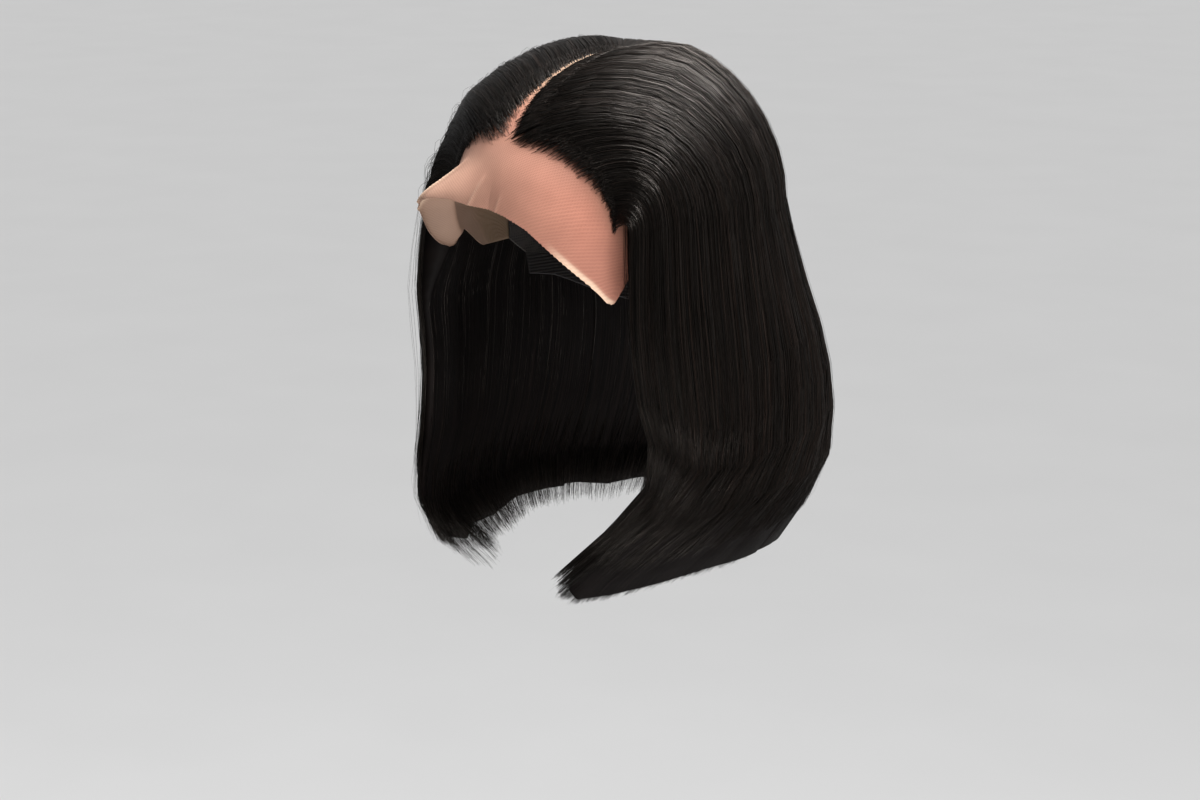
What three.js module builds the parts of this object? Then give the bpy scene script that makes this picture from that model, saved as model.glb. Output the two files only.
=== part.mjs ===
// A lace-front bob wig in the form that it has when worn, open below for a head and neck.
// A ventilated lace panel covers the front of the head from ear to ear, a net cap covers the back of it,
// and the hair falls from a centre parting on the lace and from the crown of the cap.
// Millimetres, +Z up. The face looks along -Y and the wearer's left is +X.
// The origin is the top of the hollow, where the crown of a head meets the cap.
import * as THREE from "three";

// The head that the hollow is made for.
const headHalfWidth = 76;
const headHalfLength = 96;
const crownRise = 85; // from the widest level up to the crown
const napeFall = 120; // from the widest level down to where the dome would close
const headSetback = 4; // the head's centre behind the crown

// Lace, cap and band.
const laceWall = 1.2;
const capWall = 1.2;
const bandWall = 1.6;
const bandHeight = 14;
const seamGap = 0.7; // between pieces that are sewn edge to edge
const hairGap = 0.8; // between the cap and the underside of the hair at its roots
const hairLoft = 0.6; // how much further off the cap the underside stands beyond the roots
const seamReach = 104; // degrees from the crown down to the seam's ends at the ears

// Hair.
const sideVolume = 22; // from the head to the outside of the hair, at the widest level
const frontVolume = 22;
const backVolume = 12;
const crownVolume = 16;
const hairDrop = 297; // from the crown to the lowest tips
const curtainThickness = 16;
const frontEdgeThickness = 7;
const rootThickness = 1.0;
const tipThickness = 3.0;
const lockRelief = 2.6; // how far a lock stands out from the grooves beside it
const lockNotch = 9; // how far the grooves are cut up between the tips
const partingHalfWidth = 1.6;
const whorlRadius = 5; // the small arc at the crown from which the back hair fans out

// How finely each surface is drawn.
const domeRows = 9;
const curtainRows = 12;
const rootCrowding = 1.3; // above 1, the dome's rows lie closer together near the roots
const columnsPerLock = 4;
const laceColumns = 36;
const laceRows = 10;
const capColumns = 28;
const capRows = 9;
const domeShare = domeRows / (domeRows + curtainRows);

const degrees = Math.PI / 180;
const centre = new THREE.Vector3(0, headSetback, -crownRise);
const curtainDrop = hairDrop - crownRise;

// Level sections of the hair below the temples. level is a share of curtainDrop. The left and right side and
// front and the back are shares of the hair's reach at the widest level, and centre is a share of
// headHalfLength. frontEdges are the angles of the front edges from straight ahead, in degrees.
const curtainSections = [
  { level: 0.0, leftSide: 1.0, rightSide: 1.0, leftFront: 1.0, rightFront: 1.0, back: 1.0, centre: 0.0 },
  { level: 0.23, leftSide: 1.08, rightSide: 1.08, leftFront: 1.05, rightFront: 1.05, back: 1.13, centre: 0.05 },
  { level: 0.43, leftSide: 1.14, rightSide: 1.14, leftFront: 1.01, rightFront: 1.02, back: 1.23, centre: 0.125 },
  { level: 0.63, leftSide: 1.18, rightSide: 1.17, leftFront: 1.01, rightFront: 1.04, back: 1.26, centre: 0.135 },
  { level: 0.79, leftSide: 1.14, rightSide: 1.1, leftFront: 1.1, rightFront: 1.1, back: 1.21, centre: 0.095 },
  { level: 0.91, leftSide: 1.02, rightSide: 0.95, leftFront: 1.07, rightFront: 1.01, back: 1.01, centre: 0.06 },
  { level: 1.0, leftSide: 0.88, rightSide: 0.76, leftFront: 1.0, rightFront: 0.78, back: 0.84, centre: 0.06 },
];
const frontEdges = [
  { level: 0.0, left: 54, right: 54 },
  { level: 0.23, left: 51, right: 51 },
  { level: 0.43, left: 48, right: 49 },
  { level: 0.63, left: 50, right: 50 },
  { level: 0.79, left: 40, right: 47 },
  { level: 0.91, left: 29, right: 44 },
  { level: 1.0, left: 24, right: 42 },
];

// Where the strands of one side are rooted, from the temple along the hairline to the parting, and back along
// it to the crown. strand is the strand's place from the front edge, 0, to the middle of the back, 1.
// turn is the angle towards the face from straight up, and across the angle towards the ear, in degrees.
// lift is the height in degrees of the strand's sweep over the head, and landing where it hangs, as a share of
// the way round from the front edge to the back. rise is the share of its length in which it gains full volume.
const roots = [
  { strand: 0.0, turn: 82, across: 50.5, lift: 7, landing: 0.0, rise: 0.42 },
  { strand: 0.08, turn: 74, across: 45, lift: 20, landing: 0.05, rise: 0.35 },
  { strand: 0.16, turn: 66, across: 35.5, lift: 32, landing: 0.1, rise: 0.3 },
  { strand: 0.24, turn: 61, across: 19, lift: 41, landing: 0.17, rise: 0.27 },
  { strand: 0.3, turn: 59, across: 1.2, lift: 44, landing: 0.22, rise: 0.24 },
  { strand: 0.5, turn: 29, across: 1.2, lift: 47, landing: 0.4, rise: 0.2 },
  { strand: 0.7, turn: -4, across: 1.2, lift: 50, landing: 0.58, rise: 0.15 },
  { strand: 1.0, turn: -4, across: 1.2, lift: 50, landing: 1.0, rise: 0.17 },
];
const whorlStart = 0.7; // the strand at the crown end of the parting

// The lace's free edge over the forehead on each side, by its place from the middle, 0, to an ear, 1.
// lift is how far it stands off the forehead: the right corner flares out and the left one hangs close.
// free is the share of the way from the seam to the edge at which it leaves the forehead.
const leftLaceEdge = [
  { place: 0.0, turn: 84, across: 0, lift: 0.0, free: 0.8 },
  { place: 0.12, turn: 86, across: 9, lift: 0.5, free: 0.84 },
  { place: 0.25, turn: 91, across: 20, lift: 1.0, free: 0.83 },
  { place: 0.38, turn: 99, across: 31, lift: 1.5, free: 0.77 },
  { place: 0.5, turn: 109, across: 40.5, lift: 2.0, free: 0.77 },
  { place: 0.58, turn: 119, across: 46.7, lift: 3.0, free: 0.81 },
  { place: 0.65, turn: 111, across: 52, lift: 1.5, free: 0.88 },
  { place: 0.74, turn: 104, across: 57, lift: 0.0, free: 0.92 },
  { place: 0.87, turn: 113, across: 63, lift: 0.0, free: 0.94 },
  { place: 1.0, turn: 130, across: 68, lift: 0.0, free: 0.94 },
];
const rightLaceEdge = [
  { place: 0.0, turn: 84, across: 0, lift: 0.0, free: 0.8 },
  { place: 0.12, turn: 83.5, across: 9, lift: 4.0, free: 0.78 },
  { place: 0.25, turn: 82.5, across: 20, lift: 10.0, free: 0.77 },
  { place: 0.38, turn: 84.5, across: 31, lift: 18.5, free: 0.81 },
  { place: 0.5, turn: 91, across: 40.5, lift: 18.0, free: 0.88 },
  { place: 0.58, turn: 101.5, across: 46.7, lift: 13.0, free: 0.9 },
  { place: 0.65, turn: 108.5, across: 52, lift: 5.0, free: 0.9 },
  { place: 0.74, turn: 104, across: 57, lift: 0.0, free: 0.92 },
  { place: 0.87, turn: 113, across: 63, lift: 0.0, free: 0.94 },
  { place: 1.0, turn: 130, across: 68, lift: 0.0, free: 0.94 },
];

// The cap's lower rim, from the nape, 0, to an ear, 1, as directions from the head's centre.
const capRim = [
  { place: 0.0, sideways: 0.0, backward: 0.84, downward: 0.54 },
  { place: 0.3, sideways: 0.38, backward: 0.76, downward: 0.53 },
  { place: 0.6, sideways: 0.7, backward: 0.55, downward: 0.46 },
  { place: 0.85, sideways: 0.9, backward: 0.3, downward: 0.36 },
  { place: 1.0, sideways: 0.95, backward: 0.1, downward: 0.33 },
];

// Locks, from the front edge backwards. width is relative to the others, and end a share of curtainDrop.
const leftLocks = [
  { width: 0.7, end: 0.89 },
  { width: 0.9, end: 0.94 },
  { width: 1.1, end: 1.0 },
  { width: 1.0, end: 0.99 },
  { width: 1.2, end: 0.97 },
  { width: 1.0, end: 0.95 },
  { width: 1.1, end: 0.95 },
];
const rightLocks = [
  { width: 0.8, end: 0.94 },
  { width: 0.9, end: 0.97 },
  { width: 1.2, end: 1.0 },
  { width: 0.9, end: 0.98 },
  { width: 1.1, end: 0.98 },
  { width: 1.1, end: 0.955 },
  { width: 1.0, end: 0.95 },
];
const backLocks = [
  { width: 1.0, end: 0.945 },
  { width: 1.2, end: 0.955 },
  { width: 0.9, end: 0.935 },
  { width: 1.1, end: 0.95 },
  { width: 1.3, end: 0.945 },
  { width: 1.0, end: 0.935 },
  { width: 1.2, end: 0.95 },
  { width: 0.9, end: 0.94 },
  { width: 1.1, end: 0.955 },
  { width: 1.0, end: 0.945 },
];
const meetingEnd = 0.9; // where the groove between the side and back hair ends

const mix = THREE.MathUtils.lerp;
const ease = (from, to, value) => THREE.MathUtils.smoothstep(value, from, to);

// A table's column at a value of its key column, on a smooth curve through its rows.
function read(table, key, column, value) {
  let after = 1;
  while (after < table.length - 1 && table[after][key] < value) after += 1;
  const slope = (row) => {
    const low = table[Math.max(row - 1, 0)];
    const high = table[Math.min(row + 1, table.length - 1)];
    return (high[column] - low[column]) / (high[key] - low[key]);
  };
  const from = table[after - 1];
  const to = table[after];
  const span = to[key] - from[key];
  const s = THREE.MathUtils.clamp((value - from[key]) / span, 0, 1);
  const bend = s * (1 - s) * span;
  return (
    mix(from[column], to[column], s * s * (3 - 2 * s)) +
    bend * (slope(after - 1) * (1 - s) - slope(after) * s)
  );
}

// A point on a dome round the head's centre, in a direction from it.
function onDome(direction, reach) {
  return new THREE.Vector3(
    direction.x * reach.side,
    direction.y * (direction.y < 0 ? reach.front : reach.back),
    direction.z * (direction.z > 0 ? reach.up : reach.down),
  ).add(centre);
}

// The head's dome, grown by a wall or a gap.
function headReach(growth) {
  return {
    side: headHalfWidth + growth,
    front: headHalfLength + growth,
    back: headHalfLength + growth,
    up: crownRise + growth,
    down: napeFall + growth,
  };
}

const hairReach = {
  side: headHalfWidth + sideVolume,
  front: headHalfLength + frontVolume,
  back: headHalfLength + backVolume,
  up: crownRise + crownVolume,
  down: napeFall,
};
const underHair = headReach(capWall + hairGap + hairLoft);
const underRoots = headReach(capWall + hairGap);
const rootReach = headReach(capWall + hairGap + rootThickness);

// A direction by its turn towards the face from straight up, and its angle across towards an ear.
function facing(turn, across) {
  const a = turn * degrees;
  const b = across * degrees;
  return new THREE.Vector3(Math.sin(b), -Math.cos(b) * Math.sin(a), Math.cos(b) * Math.cos(a));
}

// A level direction by its angle from straight ahead towards the left.
function level(angle) {
  return new THREE.Vector3(Math.sin(angle * degrees), -Math.cos(angle * degrees), 0);
}

// Where a strand leaves the cap, as a direction from the head's centre.
function rootDirection(strand) {
  const turn = read(roots, "strand", "turn", strand);
  const across = read(roots, "strand", "across", strand);
  if (strand <= whorlStart) {
    const onParting = facing(turn, across);
    onParting.x = Math.max(onParting.x, partingHalfWidth / headHalfWidth);
    return onParting.normalize();
  }
  const end = facing(turn, 0);
  const round = ((strand - whorlStart) / (1 - whorlStart)) * 90 * degrees;
  const start = partingHalfWidth / headHalfWidth;
  const radius = whorlRadius / headHalfWidth;
  end.x += Math.cos(round) * mix(start, radius, Math.sin(round));
  end.y += Math.sin(round) * radius;
  return end.normalize();
}

// One strand of the hair's outer face on the wearer's left, or on the right with mirror -1:
// a function of the share of its length, with the way outwards at each point and the hair's depth there.
function strandPath(strand, mirror) {
  const own = mirror > 0 ? "left" : "right";
  const landing = read(roots, "strand", "landing", strand);
  const rise = read(roots, "strand", "rise", strand);
  const angleAt = (fall) => {
    const edge = read(frontEdges, "level", own, fall);
    return edge + (180 - edge) * landing;
  };
  const start = rootDirection(strand);
  const landed = level(angleAt(0));
  const lift = read(roots, "strand", "lift", strand) * degrees;
  const over = landed.clone().multiplyScalar(Math.cos(lift));
  over.z = Math.sin(lift);

  return (share) => {
    const volume = ease(0, rise, share);
    let thin;
    let full;
    let inner;
    let outwards;
    if (share <= domeShare) {
      const s = share / domeShare;
      const direction = start
        .clone()
        .multiplyScalar((1 - s) * (1 - s))
        .addScaledVector(over, 2 * s * (1 - s))
        .addScaledVector(landed, s * s)
        .normalize();
      thin = onDome(direction, rootReach);
      full = onDome(direction, hairReach);
      inner = onDome(direction, underRoots).lerp(onDome(direction, underHair), ease(0, 0.06, share));
      outwards = full.clone().sub(inner).normalize();
    } else {
      const fall = (share - domeShare) / (1 - domeShare);
      const section = (column) => read(curtainSections, "level", column, fall);
      outwards = level(angleAt(fall));
      const reach = {
        ...hairReach,
        side: hairReach.side * section(own + "Side"),
        front: hairReach.front * section(own + "Front"),
        back: hairReach.back * section("back"),
      };
      const drop = new THREE.Vector3(0, headHalfLength * section("centre"), -curtainDrop * fall);
      thin = onDome(outwards, rootReach).add(drop);
      full = onDome(outwards, reach).add(drop);
      const hung = ease(0, 0.3, fall);
      const body = mix(frontEdgeThickness, curtainThickness, ease(0, 0.12, landing));
      const depth = mix(body, tipThickness, ease(0.62, 1, fall));
      const atHead = onDome(outwards, underHair).add(drop);
      const outer = thin.clone().lerp(full, volume);
      inner = atHead.lerp(outer.addScaledVector(outwards, -depth), hung);
    }
    const point = thin.lerp(full, volume);
    if (mirror < 0) for (const p of [point, inner, outwards]) p.x = -p.x;
    return { point, inner, outwards };
  };
}

// The columns of a hair section: each lock stands out between two grooves and ends in its own tip.
function lockColumns(locks, firstEnd, lastEnd) {
  const whole = locks.reduce((sum, lock) => sum + lock.width, 0);
  const notch = lockNotch / curtainDrop;
  const columns = [];
  let start = 0;
  locks.forEach((lock, i) => {
    const before = i === 0 ? firstEnd : Math.min(lock.end, locks[i - 1].end) - notch;
    const after = i === locks.length - 1 ? lastEnd : Math.min(lock.end, locks[i + 1].end) - notch;
    const steps = i === locks.length - 1 ? columnsPerLock + 1 : columnsPerLock;
    for (let c = 0; c < steps; c += 1) {
      const s = c / columnsPerLock;
      const crest = Math.sin(Math.PI * s) ** 0.8;
      const groove = s < 0.5 ? before : after;
      columns.push({ place: (start + s * lock.width) / whole, crest, end: mix(groove, lock.end, crest) });
    }
    start += lock.width;
  });
  return columns;
}

// The share of a strand's length at each row, with the last row at the lock's own end.
function rowShares(end) {
  const shares = [];
  for (let row = 0; row <= domeRows; row += 1) shares.push(domeShare * (row / domeRows) ** rootCrowding);
  for (let row = 1; row <= curtainRows; row += 1) {
    shares.push(domeShare + ((1 - domeShare) * end * row) / curtainRows);
  }
  return shares;
}

// A section of hair as one solid. strandAt gives the strand and side of a place across the section.
function hairSection(locks, firstEnd, lastEnd, strandAt) {
  const columns = lockColumns(locks, firstEnd, lastEnd);
  const outer = [];
  const inner = [];
  columns.forEach(({ place, crest, end }) => {
    const { strand, mirror } = strandAt(place);
    const path = strandPath(strand, mirror);
    const samples = rowShares(end).map((share) => {
      const sample = path(share);
      const relief = lockRelief * (crest - 1) * ease(0.1, 0.4, share) * (1 - ease(0.85, 1, share));
      return { ...sample, point: sample.point.addScaledVector(sample.outwards, relief) };
    });
    outer.push(samples.map((sample) => sample.point));
    inner.push(samples.map((sample) => sample.inner));
  });
  return { outer, inner };
}

// Moves a section's first or last column sideways, away from the section that it is parted from.
function partFrom(section, side, distance) {
  const [edge, next] = side === "first" ? [0, 1] : [section.outer.length - 1, section.outer.length - 2];
  for (const grid of [section.outer, section.inner]) {
    const column = grid[edge];
    grid[edge] = column.map((point, row) => {
      const along = column[Math.min(row + 1, column.length - 1)].clone().sub(column[Math.max(row - 1, 0)]);
      const inwards = grid[next][row].clone().sub(point).projectOnPlane(along.normalize()).normalize();
      return point.clone().addScaledVector(inwards, distance);
    });
  }
  return section;
}

// Closes two like grids of points, columns of rows, into one solid with its faces pointing out.
function closedSheet({ outer, inner }) {
  const columns = outer.length;
  const rows = outer[0].length;
  const positions = [];
  const indices = [];
  for (const grid of [outer, inner]) {
    for (const column of grid) for (const p of column) positions.push(p.x, p.y, p.z);
  }
  const at = (layer, c, r) => layer * columns * rows + c * rows + r;
  const quad = (a, b, c, d) => indices.push(a, b, c, a, c, d);
  for (let c = 0; c + 1 < columns; c += 1) {
    for (let r = 0; r + 1 < rows; r += 1) {
      quad(at(0, c, r), at(0, c, r + 1), at(0, c + 1, r + 1), at(0, c + 1, r));
      quad(at(1, c, r), at(1, c + 1, r), at(1, c + 1, r + 1), at(1, c, r + 1));
    }
    quad(at(0, c, 0), at(0, c + 1, 0), at(1, c + 1, 0), at(1, c, 0));
    quad(at(0, c + 1, rows - 1), at(0, c, rows - 1), at(1, c, rows - 1), at(1, c + 1, rows - 1));
  }
  for (let r = 0; r + 1 < rows; r += 1) {
    quad(at(0, 0, r), at(1, 0, r), at(1, 0, r + 1), at(0, 0, r + 1));
    quad(at(0, columns - 1, r), at(0, columns - 1, r + 1), at(1, columns - 1, r + 1), at(1, columns - 1, r));
  }
  const geometry = new THREE.BufferGeometry();
  geometry.setAttribute("position", new THREE.Float32BufferAttribute(positions, 3));
  geometry.setIndex(indices);
  geometry.computeVertexNormals();
  return geometry;
}

// The way from one direction to another round the head's centre.
function between(from, to, share) {
  const angle = from.angleTo(to);
  return from
    .clone()
    .multiplyScalar(Math.sin((1 - share) * angle))
    .addScaledVector(to, Math.sin(share * angle))
    .normalize();
}

// The ear-to-ear seam that joins lace and cap, by its place from the right ear, -1, to the left ear, 1.
function seamDirection(place) {
  const angle = place * seamReach * degrees;
  const backward = 0.07 - 0.1 * place * place;
  return new THREE.Vector3(Math.sin(angle), backward, Math.cos(angle)).normalize();
}

// A sheet of cloth on the head, between two curves, set back from each by half a seam.
// crowding above 1 draws its rows closer together towards the second curve.
function headSheet({ columns, rows, wall, from, to, lift = () => 0, fromGap = 0, toGap = 0, crowding = 1 }) {
  const outer = [];
  const inner = [];
  for (let c = 0; c <= columns; c += 1) {
    const place = mix(-1, 1, c / columns);
    const start = from(place);
    const end = to(place);
    const length = onDome(start, headReach(0)).distanceTo(onDome(end, headReach(0)));
    const outerColumn = [];
    const innerColumn = [];
    for (let r = 0; r <= rows; r += 1) {
      const share = mix(fromGap / length, 1 - toGap / length, 1 - (1 - r / rows) ** crowding);
      const direction = between(start, end, share);
      const off = lift(place, share);
      outerColumn.push(onDome(direction, headReach(off + wall)));
      innerColumn.push(onDome(direction, headReach(off)));
    }
    outer.push(outerColumn);
    inner.push(innerColumn);
  }
  return { outer, inner };
}

function rimDirection(place) {
  const at = (column) => read(capRim, "place", column, Math.abs(place));
  return new THREE.Vector3(Math.sign(place) * at("sideways"), at("backward"), -at("downward")).normalize();
}

function bandDirection(place) {
  const low = rimDirection(place);
  low.z -= bandHeight / napeFall;
  return low.normalize();
}

function laceFront() {
  const edgeAt = (place, column) =>
    read(place > 0 ? leftLaceEdge : rightLaceEdge, "place", column, Math.abs(place));
  const edge = (place) => {
    const direction = facing(edgeAt(place, "turn"), edgeAt(place, "across"));
    direction.x *= Math.sign(place);
    return direction;
  };
  const lift = (place, share) => Math.max(0, edgeAt(place, "lift")) * ease(edgeAt(place, "free"), 1, share);
  return headSheet({
    columns: laceColumns,
    rows: laceRows,
    wall: laceWall,
    from: seamDirection,
    to: edge,
    lift,
    fromGap: seamGap / 2,
    crowding: 1.5,
  });
}

function capNet() {
  return headSheet({
    columns: capColumns,
    rows: capRows,
    wall: capWall,
    from: seamDirection,
    to: rimDirection,
    fromGap: seamGap / 2,
    toGap: seamGap,
  });
}

function napeBand() {
  return headSheet({
    columns: capColumns,
    rows: 1,
    wall: bandWall,
    from: rimDirection,
    to: bandDirection,
  });
}

// The frontal's hair on one side, from the face edge back to the crown end of the parting.
function sideHair(locks, mirror) {
  const strandAt = (place) => ({ strand: place * whorlStart, mirror });
  const frontEnd = locks[0].end - lockNotch / curtainDrop;
  return partFrom(hairSection(locks, frontEnd, meetingEnd, strandAt), "last", seamGap / 2);
}

// The back hair, from the left side's last strand round the nape to the right side's.
function backHair(locks) {
  const strandAt = (place) => ({
    strand: mix(1, whorlStart, Math.abs(1 - 2 * place)),
    mirror: place < 0.5 ? 1 : -1,
  });
  const section = hairSection(locks, meetingEnd, meetingEnd, strandAt);
  return partFrom(partFrom(section, "first", seamGap / 2), "last", seamGap / 2);
}

// Turns a mirrored section's columns round, so that its faces point out again.
function reversed({ outer, inner }) {
  return { outer: [...outer].reverse(), inner: [...inner].reverse() };
}

const hairBlack = new THREE.MeshStandardMaterial({ color: 0x17120f, roughness: 0.38, metalness: 0 });
const swissLace = new THREE.MeshStandardMaterial({ color: 0xc9a284, roughness: 0.8, metalness: 0 });
const stretchNet = new THREE.MeshStandardMaterial({ color: 0x1d1a19, roughness: 0.85, metalness: 0 });
const elastic = new THREE.MeshStandardMaterial({ color: 0x141313, roughness: 0.75, metalness: 0 });

function piece(name, sheet, material) {
  const mesh = new THREE.Mesh(closedSheet(sheet), material);
  mesh.name = name;
  return mesh;
}

const wig = new THREE.Group();
wig.add(
  piece("lace_front", laceFront(), swissLace),
  piece("cap_net", reversed(capNet()), stretchNet),
  piece("nape_band", reversed(napeBand()), elastic),
  piece("hair_left", sideHair(leftLocks, 1), hairBlack),
  piece("hair_right", reversed(sideHair(rightLocks, -1)), hairBlack),
  piece("hair_back", backHair(backLocks), hairBlack),
);

export default wig;
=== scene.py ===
import math

import bpy
import numpy as np
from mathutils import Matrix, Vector


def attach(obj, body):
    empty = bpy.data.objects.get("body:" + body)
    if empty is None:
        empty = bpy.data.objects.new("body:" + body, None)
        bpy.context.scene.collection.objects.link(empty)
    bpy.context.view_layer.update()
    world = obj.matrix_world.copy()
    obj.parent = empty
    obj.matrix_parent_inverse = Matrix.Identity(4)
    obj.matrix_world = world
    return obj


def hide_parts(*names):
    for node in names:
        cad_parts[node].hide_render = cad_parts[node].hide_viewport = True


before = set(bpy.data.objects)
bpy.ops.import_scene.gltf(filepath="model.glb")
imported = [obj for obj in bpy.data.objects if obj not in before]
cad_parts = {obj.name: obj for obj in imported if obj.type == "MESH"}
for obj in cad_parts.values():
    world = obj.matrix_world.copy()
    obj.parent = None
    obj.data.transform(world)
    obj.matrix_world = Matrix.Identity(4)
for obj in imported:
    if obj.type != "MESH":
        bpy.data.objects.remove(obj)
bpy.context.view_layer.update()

# Camera
# The wig is seen from its wearer's left, 42 degrees round from the front and 14 degrees above the level.
# The lens is long, so that the near and the far side keep their real proportions.
view_turn = math.radians(42)
view_rise = math.radians(14)
view_distance = 1.6
aim = Vector((0.0305, -0.0356, -0.1881))
towards_camera = Vector(
    (
        math.sin(view_turn) * math.cos(view_rise),
        -math.cos(view_turn) * math.cos(view_rise),
        math.sin(view_rise),
    )
)
camera_data = bpy.data.cameras.new("camera")
camera_data.sensor_width = 36
camera_data.lens = 85.44
camera = bpy.data.objects.new("camera", camera_data)
camera.location = aim + towards_camera * view_distance
camera.rotation_euler = (-towards_camera).to_track_quat("-Z", "Y").to_euler()
bpy.context.scene.collection.objects.link(camera)
bpy.context.scene.camera = camera
bpy.context.scene.view_settings.view_transform = "Standard"

# Lace front
# A panel of flesh-coloured monofilament net from ear to ear, on which the front hair is knotted by hand.
# Its free margin runs on over the forehead, was cut with pinking shears, and is creased where it was packed.
# The right corner flares off the head and the left one ends in a hanging point at the temple.
head_half_width = 0.076
head_half_length = 0.096
crown_rise = 0.085
nape_fall = 0.120
head_setback = 0.004
lace_wall = 0.0012
net_thickness = 0.0003
seam_reach = math.radians(104)
tooth_pitch = 0.0021
tooth_depth = 0.0008
lace_columns = 280
lace_rows = 64
# The free edge on each side, by its place from the middle to an ear: its turn towards the face from straight up
# and its angle across, its lift off the forehead, and the share of the way at which it leaves the forehead.
left_lace_edge = {
    "place": [0.0, 0.12, 0.25, 0.38, 0.5, 0.58, 0.65, 0.74, 0.87, 1.0],
    "turn": [84, 86, 91, 99, 109, 119, 111, 104, 113, 130],
    "across": [0, 9, 20, 31, 40.5, 46.7, 52, 57, 63, 68],
    "lift": [0.0, 0.0005, 0.001, 0.0015, 0.002, 0.003, 0.0015, 0.0, 0.0, 0.0],
    "free": [0.8, 0.84, 0.83, 0.77, 0.77, 0.81, 0.88, 0.92, 0.94, 0.94],
}
right_lace_edge = {
    "place": [0.0, 0.12, 0.25, 0.38, 0.5, 0.58, 0.65, 0.74, 0.87, 1.0],
    "turn": [84, 83.5, 82.5, 84.5, 91, 101.5, 108.5, 104, 113, 130],
    "across": [0, 9, 20, 31, 40.5, 46.7, 52, 57, 63, 68],
    "lift": [0.0, 0.004, 0.010, 0.0185, 0.018, 0.013, 0.005, 0.0, 0.0, 0.0],
    "free": [0.8, 0.78, 0.77, 0.81, 0.88, 0.9, 0.9, 0.92, 0.94, 0.94],
}
# Creases, by the place and share of their two ends, their height and their half width in place.
lace_creases = [
    {"from": (-0.12, 1.0), "to": (-0.04, 0.85), "height": 0.0010, "half_width": 0.007},
    {"from": (-0.41, 1.0), "to": (-0.20, 0.78), "height": 0.0020, "half_width": 0.016},
    {"from": (-0.48, 1.0), "to": (-0.38, 0.86), "height": 0.0014, "half_width": 0.016},
    {"from": (0.05, 1.0), "to": (0.07, 0.90), "height": 0.0004, "half_width": 0.010},
]


def read(table, key, column, at):
    """A table's column at values of its key column, on a smooth curve through its rows."""
    keys = np.array(table[key], float)
    values = np.array(table[column], float)
    last = len(keys) - 1
    low = np.maximum(np.arange(last + 1) - 1, 0)
    high = np.minimum(np.arange(last + 1) + 1, last)
    slopes = (values[high] - values[low]) / (keys[high] - keys[low])
    after = np.clip(np.searchsorted(keys, at), 1, last)
    span = keys[after] - keys[after - 1]
    s = np.clip((at - keys[after - 1]) / span, 0, 1)
    bend = s * (1 - s) * span * (slopes[after - 1] * (1 - s) - slopes[after] * s)
    return values[after - 1] + (values[after] - values[after - 1]) * s * s * (3 - 2 * s) + bend


def ease(start, end, value):
    s = np.clip((value - start) / (end - start), 0, 1)
    return s * s * (3 - 2 * s)


def unit(vectors):
    return vectors / np.maximum(np.linalg.norm(vectors, axis=-1, keepdims=True), 1e-12)


def facing(turn, across):
    """Directions by their turn towards the face from straight up, and their angle across to an ear."""
    a = np.radians(turn)
    b = np.radians(across)
    return np.stack([np.sin(b), -np.cos(b) * np.sin(a), np.cos(b) * np.cos(a)], -1)


def head_reach(growth):
    return {
        "side": head_half_width + growth,
        "front": head_half_length + growth,
        "back": head_half_length + growth,
        "up": crown_rise + growth,
        "down": nape_fall + growth,
    }


def on_dome(direction, reach):
    """Points on a dome round the head's centre, in directions from it."""
    x, y, z = np.moveaxis(direction, -1, 0)
    return np.stack(
        [
            x * reach["side"],
            y * np.where(y < 0, reach["front"], reach["back"]) + head_setback,
            z * np.where(z > 0, reach["up"], reach["down"]) - crown_rise,
        ],
        -1,
    )


def between(start, end, share):
    angle = np.arccos(np.clip((start * end).sum(-1, keepdims=True), -1, 1))
    return unit(start * np.sin((1 - share) * angle) + end * np.sin(share * angle))


def seam_direction(place):
    angle = place * seam_reach
    return unit(np.stack([np.sin(angle), 0.07 - 0.1 * place**2, np.cos(angle)], -1))


def edge_at(place, column):
    return np.where(
        place > 0,
        read(left_lace_edge, "place", column, np.abs(place)),
        read(right_lace_edge, "place", column, np.abs(place)),
    )


def crease_ridge(crease, place, share):
    """How near points lie to a crease's ridge, from 0 to 1, fading towards its inner end."""
    (place_0, share_0), (place_1, share_1) = crease["from"], crease["to"]
    along = np.clip((share - share_1) / (share_0 - share_1), 0, 1)
    middle = place_1 + (place_0 - place_1) * along
    return ease(0, 0.4, along) * np.exp(-(((place - middle) / crease["half_width"]) ** 2))


def lace_surface(place, share):
    """Points on the lace's upper face, by place from ear to ear and share from the seam to the free edge."""
    off = np.maximum(edge_at(place, "lift"), 0) * ease(edge_at(place, "free"), 1.0, share)
    for crease in lace_creases:
        off = off + crease["height"] * crease_ridge(crease, place, share)
    edge = facing(edge_at(place, "turn"), edge_at(place, "across"))
    edge[..., 0] *= np.where(place < 0, -1, 1)
    direction = between(seam_direction(place), edge, share[..., None])
    rest = on_dome(direction, head_reach(lace_wall))
    outwards = unit(rest - on_dome(direction, head_reach(0)))
    return rest + outwards * off[..., None], outwards


def linear(colour):
    """An sRGB hex colour as linear red, green, blue and alpha."""
    values = [int(colour[i : i + 2], 16) / 255 for i in (1, 3, 5)]
    return [v / 12.92 if v <= 0.04045 else ((v + 0.055) / 1.055) ** 2.4 for v in values] + [1.0]


def new_material(name, inputs):
    material = bpy.data.materials.new(name)
    material.use_nodes = True
    shader = material.node_tree.nodes["Principled BSDF"]
    for socket, value in inputs.items():
        shader.inputs[socket].default_value = value
    return material, shader


def add_node(material, kind, settings=None, inputs=None, links=None):
    """Adds a node to a material, with its settings, the values of its inputs, and the outputs linked to it."""
    tree = material.node_tree
    node = tree.nodes.new(kind)
    for name, value in (settings or {}).items():
        setattr(node, name, value)
    for name, value in (inputs or {}).items():
        node.inputs[name].default_value = value
    for name, output in (links or {}).items():
        tree.links.new(output, node.inputs[name])
    return node


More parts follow.
